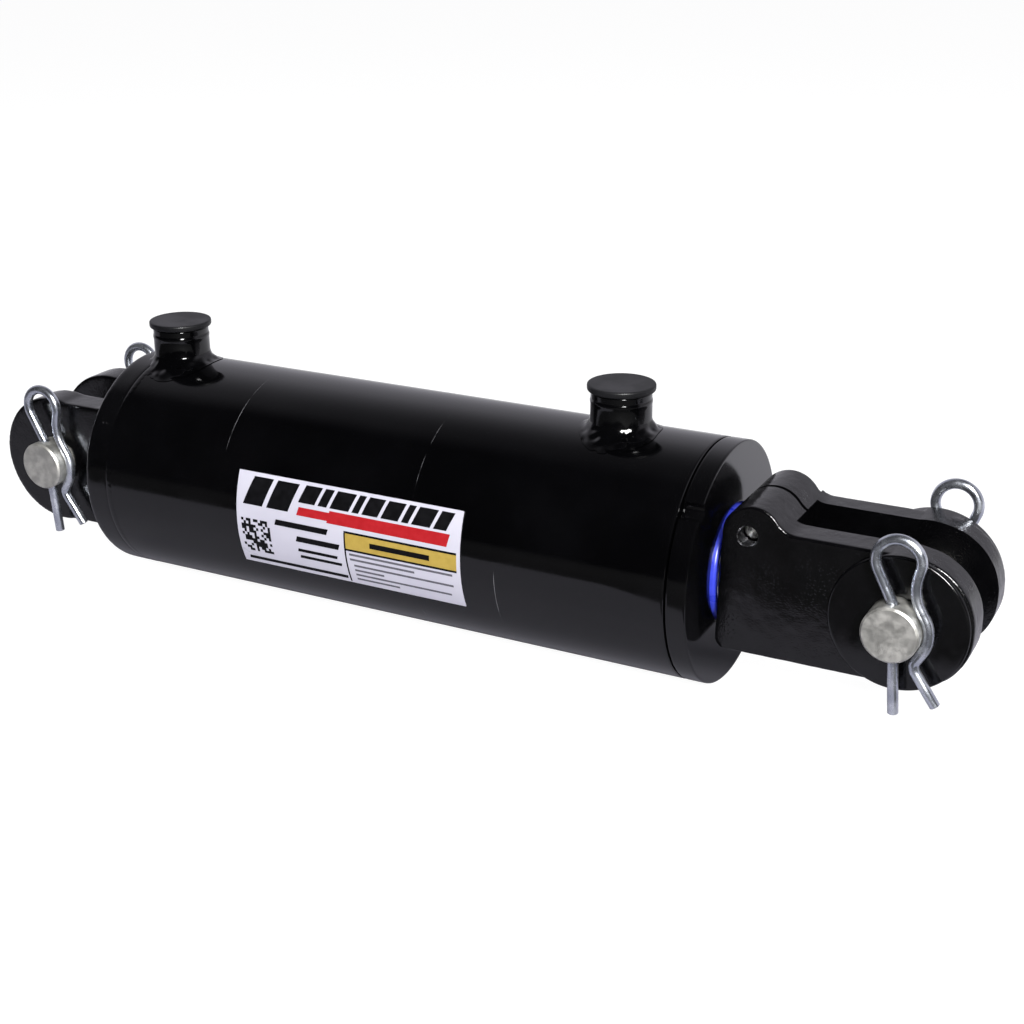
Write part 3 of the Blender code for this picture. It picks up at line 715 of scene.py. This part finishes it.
def label():
    """The sheet and its print: blocks, a stripe, a panel and ruled bars, with no lettering."""
    shape = bmesh.new()
    label_patch(shape, bar(0, 0, 1, 1), LABEL_R, LABEL_R + 0.25)
    sheet = from_bmesh("label_sheet", shape)
    finish(sheet, PAINT["film"], "cylinder", ["info_label"])
    black = [bar(0.075, 0.04, 0.165, 0.33, 0.045), bar(0.185, 0.04, 0.285, 0.33, 0.045)]
    left, space = 0.315, 0.014
    for width in (0.075, 0.04, 0.085, 0.03, 0.07, 0.075, 0.03, 0.08, 0.055):
        black.append(bar(left, 0.035, left + width, 0.215, 0.03))
        left += width + space
    size, wide, high, filled = 12, 0.0112, 0.0308, 0.52
    for row in range(size):
        for column in range(size):
            if math.sin(12.9 * row + 78.2 * column + 0.4) * 437.5 % 1.0 < filled:
                u, v = 0.020 + wide * column, 0.475 + high * row
                black.append(bar(u, v, u + wide, v + high))
    black += [bar(0.185, 0.43, 0.425, 0.49, 0.008), bar(0.28, 0.565, 0.475, 0.625, 0.008)]
    black += [bar(0.28, 0.70, 0.46, 0.735, 0.004), bar(0.285, 0.775, 0.475, 0.81, 0.004)]
    black += [bar(0.03, 0.915, 0.49, 0.955, 0.004)]
    black += [bar(0.496, 0.408, 0.985, 0.43), bar(0.496, 0.59, 0.985, 0.612)]
    black += [bar(0.495, 0.43, 0.502, 0.985), bar(0.61, 0.485, 0.87, 0.54)]
    label_ink("label_black", "ink_black", black)
    red = [bar(0.29, 0.26, 0.43, 0.345, 0.01), bar(0.43, 0.24, 0.955, 0.365, 0.012)]
    label_ink("label_red", "ink_red", red)
    gold = [bar(0.502, 0.43, 0.985, 0.485), bar(0.502, 0.485, 0.61, 0.54)]
    gold += [bar(0.87, 0.485, 0.985, 0.54), bar(0.502, 0.54, 0.985, 0.59)]
    label_ink("label_gold", "ink_gold", gold)
    rules = [(0.515, 0.965, 0.635), (0.515, 0.80, 0.69), (0.53, 0.965, 0.755)]
    rules += [(0.53, 0.66, 0.81), (0.53, 0.95, 0.865), (0.53, 0.72, 0.92)]
    grey = [bar(left, top, right, top + 0.024) for left, right, top in rules]
    label_ink("label_grey", "ink_grey", grey)


# ---------------------------------------------------------------- rod, clevis and clamp
CLAMP_AT = (394.4, 0, 26.6)


def piston_rod():
    shoulder, tail, tail_r = 380.4, 110.1, 15.875
    outline = [(410.3, 0), (410.3, ROD_TAIL_R - 1), (409.3, ROD_TAIL_R), (shoulder, ROD_TAIL_R)]
    outline += [(shoulder, ROD_R), (tail, ROD_R), (tail, tail_r), (59.8, tail_r)]
    outline += [(58.8, tail_r - 1), (58.8, 0)]
    rod = turned("chrome_rod", rounded(outline, 0.4), steps=192)
    finish(rod, PAINT["chrome"], "rod", ["piston_rod"])


def clevis_outline():
    """The casting seen along the pin: foot, clamp lobe, the dip in front of it, and a round tip."""
    rear, tip, corner, foot, top, low = 380.7, ROD_PIN_X + 32, 29.0, 5.0, 30.5, -30.0
    lobe, lobe_r, ease_r = Vector((396.6, 26.5)), 14.2, 10.0
    ease_z = top + ease_r
    ease_x = lobe.x + math.sqrt((lobe_r + ease_r) ** 2 - (ease_z - lobe.y) ** 2)
    meet = math.degrees(math.atan2(ease_z - lobe.y, ease_x - lobe.x))
    points = arc((rear + foot, low + foot), foot, -90, -180, 8)
    points += arc(lobe, lobe_r, 180, meet, 40)
    points += arc((ease_x, ease_z), ease_r, 180 + meet, 270, 14)
    points += arc((tip - corner, top - corner), corner, 90, 0, 30)
    points += arc((tip - corner, low + corner), corner, 0, -90, 30)
    return points


def rod_casting():
    """The clevis: a drafted casting with turned discs, its slot, bores, split and bolt seat."""
    body = plate("rod_casting", clevis_outline(), -32, 32)
    draft = [(27.8, 0), (26.0, 43), (-29.1, 43), (-29.5, 0), (-28.8, -33), (26.6, -33)]
    cut(body, [plate("draft", draft, 350, 520, "X")], "INTERSECT")
    roughened(cast_skin(body, 0.72, 9), 7.0, 0.09)
    pin_at = (ROD_PIN_X, 0, 0)
    disc_r, step_r = 31, 14.2
    disc = [(HALF_WIDTH, 0), (HALF_WIDTH, step_r), (HALF_WIDTH, disc_r)]
    disc += [(-HALF_WIDTH, disc_r), (-HALF_WIDTH, step_r), (-HALF_WIDTH, 0)]
    joined(body, [turned("disc", rounded(disc, 1.4, 6), "Y", pin_at, 192)])
    tools = [block("slot", (411.5, -HALF_SLOT, -60), (530, HALF_SLOT, 60))]
    tools += [shaft("bore", PIN_R + GAP, -50, 50, "Y", pin_at, 128)]
    tools += [shaft("thread", ROD_TAIL_R + GAP, 370, 430, "X")]
    tools += [block("split", (370, -1.25, 5), (420, 1.25, 60))]
    tools += [shaft("hole", 5.06, -40, 40, "Y", CLAMP_AT, 64)]
    tools += [shaft("seat", 17.0, 22.8, 40, "Y", CLAMP_AT, 96)]
    cut(body, tools)
    finish(body, PAINT["rod_cast"], "rod", ["rod_clevis"], 40)


def clamp_screw():
    head, head_r, shank_r = 29.6, 8.2, 4.76
    outline = [(head, 0), (head, head_r - 1), (head - 1, head_r), (23.1, head_r), (23.1, shank_r)]
    outline += [(-20, shank_r), (-21, shank_r - 1), (-21, 0)]
    screw = turned("clamp_screw", rounded(outline, 0.25), "Y", CLAMP_AT, 96)
    hexagon = arc((CLAMP_AT[0], CLAMP_AT[2]), head_r, 0, 300, 5)
    cut(screw, [plate("hexagon", hexagon, -60, 60)], "INTERSECT")
    finish(screw, PAINT["bolt"], "rod", ["clamp_bolt"])


def clamp_thread():
    """The tapped wall that shows in the near end of the clamp's hole."""
    shape = bmesh.new()
    steps, pitch, low, high = 48, 1.5875, -28.9, -21.6
    crest_r, depth, wall_r = 4.55, 0.9, 5.25
    rows = round((high - low) / pitch * 8)
    layers = []
    for wall in (False, True):
        grid = []
        for row in range(rows + 1):
            y = low + (high - low) * row / rows
            ring = []
            for index in range(steps):
                turn = 2 * math.pi * index / steps
                phase = (y / pitch + index / steps) % 1.0
                radius = wall_r if wall else crest_r + depth * abs(phase - 0.5)
                x, z = radius * math.cos(turn), radius * math.sin(turn)
                ring.append(shape.verts.new((CLAMP_AT[0] + x, y, CLAMP_AT[2] + z)))
            grid.append(ring)
        layers.append(grid)
    for grid in layers:
        for one, two in zip(grid, grid[1:]):
            bridge(shape, one, two)
    for end in (0, -1):
        bridge(shape, layers[0][end], layers[1][end])
    finish(from_bmesh("clamp_thread", shape), PAINT["thread"], "rod", (), 20)


# ---------------------------------------------------------------- pins and hairpin clips
LEAN = {"near": math.radians(-4.3), "far": math.radians(5.0)}
CLIP_Y = {"near": -38.1, "far": 38.1}
CLIP_RISE = {("base", "far"): 5.0}


def clevis_pin(end, station):
    """A pin with chamfered ends, drilled for a leaning clip near each of them."""
    half, edge, edge_r = 44.45, 43.5, 11.75
    outline = [(half, 0), (half, edge_r), (edge, PIN_R)]
    outline += [(-edge, PIN_R), (-half, edge_r), (-half, 0)]
    pin = turned(end + "_pin", rounded(outline, 0.12), "Y", (station, 0, 0), 128)
    drills = []
    for side, y in CLIP_Y.items():
        drill = shaft("drill", WIRE_R + 0.45, -20, 20, "Z", steps=40)
        lean = Matrix.Rotation(LEAN[side], 4, "Y")
        drill.data.transform(Matrix.Translation((station * MM, y * MM, 0)) @ lean)
        drills.append(drill)
    cut(pin, drills)
    finish(pin, PAINT["pin"], end + "_pin_set", [end + "_clevis_pin"], 40)


def tangent_path(chain, step):
    """Points of a path that runs straight between circles and bends round each one.

    A circle is (centre, radius, turn), the turn 1 to the left or -1 to the right. The first and
    last are the path's ends, with no radius.
    """
    headings = []
    for (one, one_r, one_turn), (two, two_r, two_turn) in zip(chain, chain[1:]):
        between = two - one
        offset = two_turn * two_r - one_turn * one_r
        straight = math.sqrt(max(between.length_squared - offset ** 2, 0.0))
        headings.append(math.atan2(between.y, between.x) - math.atan2(offset, straight))
    points = [chain[0][0]]
    for (centre, radius, turn), arrive, leave in zip(chain[1:-1], headings, headings[1:]):
        sweep = (leave - arrive) * turn % (2 * math.pi)
        count = max(2, round(sweep / step))
        for index in range(count + 1):
            heading = arrive + turn * sweep * index / count
            points.append(centre + Vector((math.sin(heading), -math.cos(heading))) * radius * turn)
    points.append(chain[-1][0])
    return points


def hairpin(end, side, station, rise):
    """A wire clip: a straight leg through the pin, a loop, and a bent leg that hugs the pin.

    rise lifts the loop, which lengthens what stands above the pin.
    """
    lift = Vector((0, rise))
    hug_r = PIN_R + WIRE_R + GAP
    chain = [
        (Vector((0, -38.7)), 0, 1),
        (Vector((-6, 11.2)) + lift, 6, 1),
        (Vector((2.6, 31.5)) + lift, 9.8, -1),
        (Vector((30, 19.2)) + lift, 20, 1),
        (Vector((0, 0)), hug_r, -1),
        (Vector((14, -15.6)), 5, 1),
        (Vector((18.2, -32.8)), 0, 1),
    ]
    points = [Vector((p.x, 0, p.y)) for p in tangent_path(chain, math.radians(5))]
    tangents = []
    for index in range(len(points)):
        ahead = points[min(index + 1, len(points) - 1)] - points[max(index - 1, 0)]
        tangents.append(ahead.normalized())
    end_share, edge = 0.82, 0.35
    rings = [(points[0], tangents[0], end_share)]
    rings += [(points[0] + tangents[0] * edge, tangents[0], 1.0)]
    rings += [(point, tangent, 1.0) for point, tangent in list(zip(points, tangents))[1:-1]]
    rings += [(points[-1] - tangents[-1] * edge, tangents[-1], 1.0)]
    rings += [(points[-1], tangents[-1], end_share)]
    shape = bmesh.new()
    sides, across = 20, Vector((0, 1, 0))
    made = []
    for centre, tangent, share in rings:
        out = across.cross(tangent)
        ring = []
        for index in range(sides):
            turn = 2 * math.pi * index / sides
            spot = centre + (across * math.cos(turn) + out * math.sin(turn)) * WIRE_R * share
            ring.append(shape.verts.new(spot))
        made.append(ring)
    for one, two in zip(made, made[1:]):
        bridge(shape, one, two)
    shape.faces.new(made[0])
    shape.faces.new(made[-1])
    lean = Matrix.Rotation(LEAN[side], 4, "Y")
    shape.transform(Matrix.Translation((station, CLIP_Y[side], 0)) @ lean)
    clip = from_bmesh("%s_clip_%s" % (end, side), shape)
    nodes = ["%s_hairpin_%s" % (end, side)]
    finish(clip, PAINT["clip"], end + "_pin_set", nodes, 50)


# ---------------------------------------------------------------- the CAD nodes that stay
KEPT = {
    "piston": "iron",
    "piston_nut": "steel",
    "piston_seal": "ptfe",
    "piston_seal_energizer": "nitrile",
    "piston_wear_ring_front": "nylon",
    "piston_wear_ring_rear": "nylon",
    "piston_o_ring": "nitrile",
    "gland_o_ring": "nitrile",
    "gland_backup_ring": "ptfe",
    "rod_seal": "seal",
    "rod_wear_ring": "nylon",
}


def keep_inner_parts():
    """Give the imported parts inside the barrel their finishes."""
    for name, paint in KEPT.items():
        materials = frame["nodes"][name].data.materials
        materials.clear()
        materials.append(PAINT[paint])


# ---------------------------------------------------------------- stage
def camera():
    az, el, roll, distance = 0.488956, 0.379391, -0.010511, 0.832813
    target = Vector((0.262454, 0.000149, 0.004353))
    back = Vector((math.sin(az) * math.cos(el), -math.cos(az) * math.cos(el), math.sin(el)))
    right = (-back).cross(Vector((0, 0, 1))).normalized()
    up = right.cross(-back)
    c, s = math.cos(roll), math.sin(roll)
    right, up = c * right + s * up, c * up - s * right
    lens = bpy.data.cameras.new("camera")
    lens.lens = 59.79
    lens.sensor_width = 36.0
    lens.clip_start = 0.01
    item = placed("camera", lens)
    turn = Matrix((right, up, back)).transposed().to_4x4()
    item.matrix_world = Matrix.Translation(target + back * distance) @ turn
    bpy.context.scene.camera = item


def lamp(name, at, aim, size, power, glossy=True, diffuse=True):
    light = bpy.data.lights.new(name, "AREA")
    light.shape = "RECTANGLE"
    light.size, light.size_y = size
    light.energy = power
    item = placed(name, light)
    item.location = at
    item.rotation_euler = (Vector(aim) - Vector(at)).to_track_quat("-Z", "Y").to_euler()
    item.visible_glossy = glossy
    item.visible_diffuse = diffuse


def world():
    """White to the camera. Reflections see a dark front and a pale sweep behind that fades up."""
    sky = bpy.data.worlds.new("studio")
    bpy.context.scene.world = sky
    sky.use_nodes = True
    g = Nodes(sky.node_tree, "Generated")
    behind = g.span(g.axis("Y"), -0.12, 0.18)
    height = g.span(g.axis("Z"), 0.45, 0.97, 0.60, 0.03)
    glow = g.math("ADD", g.times(behind, height), 0.014)
    seen = g.node("ShaderNodeLightPath").outputs["Is Camera Ray"]
    background = sky.node_tree.nodes["Background"]
    g.link(g.mix(seen, (0.92, 0.90, 1.0), (1.0, 1.0, 1.0)), background.inputs["Color"])
    g.link(g.blend(seen, glow, 1.0), background.inputs["Strength"])


def floor():
    """White to the camera, with a faint shadow. Reflections see it grey, and brighter behind by a
    painted glow.
    """
    shape = bmesh.new()
    bmesh.ops.create_grid(shape, x_segments=8, y_segments=8, size=6000)
    bmesh.ops.translate(shape, vec=(250, 0, FLOOR_Z), verts=shape.verts)
    ground = from_bmesh("floor", shape)
    material = bpy.data.materials.new("floor")
    material.use_nodes = True
    material.node_tree.nodes.clear()
    g = Nodes(material.node_tree)
    white = g.shader("ShaderNodeEmission", Strength=0.94)
    shade = g.shader("ShaderNodeBsdfDiffuse", Color=(0.16, 0.16, 0.16))
    shown = g.shader("ShaderNodeAddShader", in_0=shade, in_1=white)
    # Painted light: for reflections the floor glows, more towards the back, standing in for light
    # falling there.
    behind = g.span(g.axis("Y"), 0.02, 0.35, 0.0, 0.45, "LINEAR")
    lift = g.shader("ShaderNodeEmission", Strength=behind)
    matt = g.shader("ShaderNodeBsdfDiffuse", Color=(0.32, 0.315, 0.36))
    mirrored = g.shader("ShaderNodeAddShader", in_0=matt, in_1=lift)
    seen = g.node("ShaderNodeLightPath").outputs["Is Camera Ray"]
    surface = g.shader("ShaderNodeMixShader", in_0=seen, in_1=mirrored, in_2=shown)
    out = g.node("ShaderNodeOutputMaterial")
    g.link(surface, out.inputs["Surface"])
    ground.data.materials.append(material)


def painted_shade_card():
    """Painted shade: a black sheet just over the floor that only reflections see."""
    edge = [(-4000, -6000), (5000, -6000), (5000, -30), (520, -30), (500, -118), (370, -118)]
    edge += [(260, -235), (-4000, -235)]
    shape = bmesh.new()
    shape.faces.new([shape.verts.new((x, y, FLOOR_Z + 0.5)) for x, y in edge])
    card = from_bmesh("painted_shade_card", shape)
    # The black stands in for shade on the floor in front: painted shade, seen only in reflections.
    black = Finish("painted_shade_card").out(Base_Color=(0.01, 0.01, 0.01), Roughness=1.0)
    card.data.materials.append(black)
    card.visible_camera = False
    card.visible_diffuse = False
    card.visible_shadow = False


def stage():
    bpy.context.scene.view_settings.view_transform = "Standard"
    world()
    floor()
    painted_shade_card()
    middle, front_right = (0.25, 0, 0), (1.25, -1.35, 0.95)
    lamp("key", front_right, middle, (0.4, 0.9), 60.0)
    lamp("glint", front_right, middle, (0.25, 0.5), 60.0, diffuse=False)
    lamp("fill", (-0.9, -1.2, 0.9), (0.2, 0, 0), (0.8, 0.8), 7.0, glossy=False)
    lamp("top", (0.25, 0.15, 1.5), middle, (1.2, 0.8), 12.0, glossy=False)
    camera()


stage()
barrel()
base_casting()
base_weld()
gland()
wiper()
port("base", PORT_X["base"], 3.1)
port("rod", PORT_X["rod"], 8.7)
label()
piston_rod()
rod_casting()
clamp_screw()
clamp_thread()
for end, station in (("base", 0.0), ("rod", ROD_PIN_X)):
    clevis_pin(end, station)
    for side in CLIP_Y:
        hairpin(end, side, station, CLIP_RISE.get((end, side), 0.0))
keep_inner_parts()
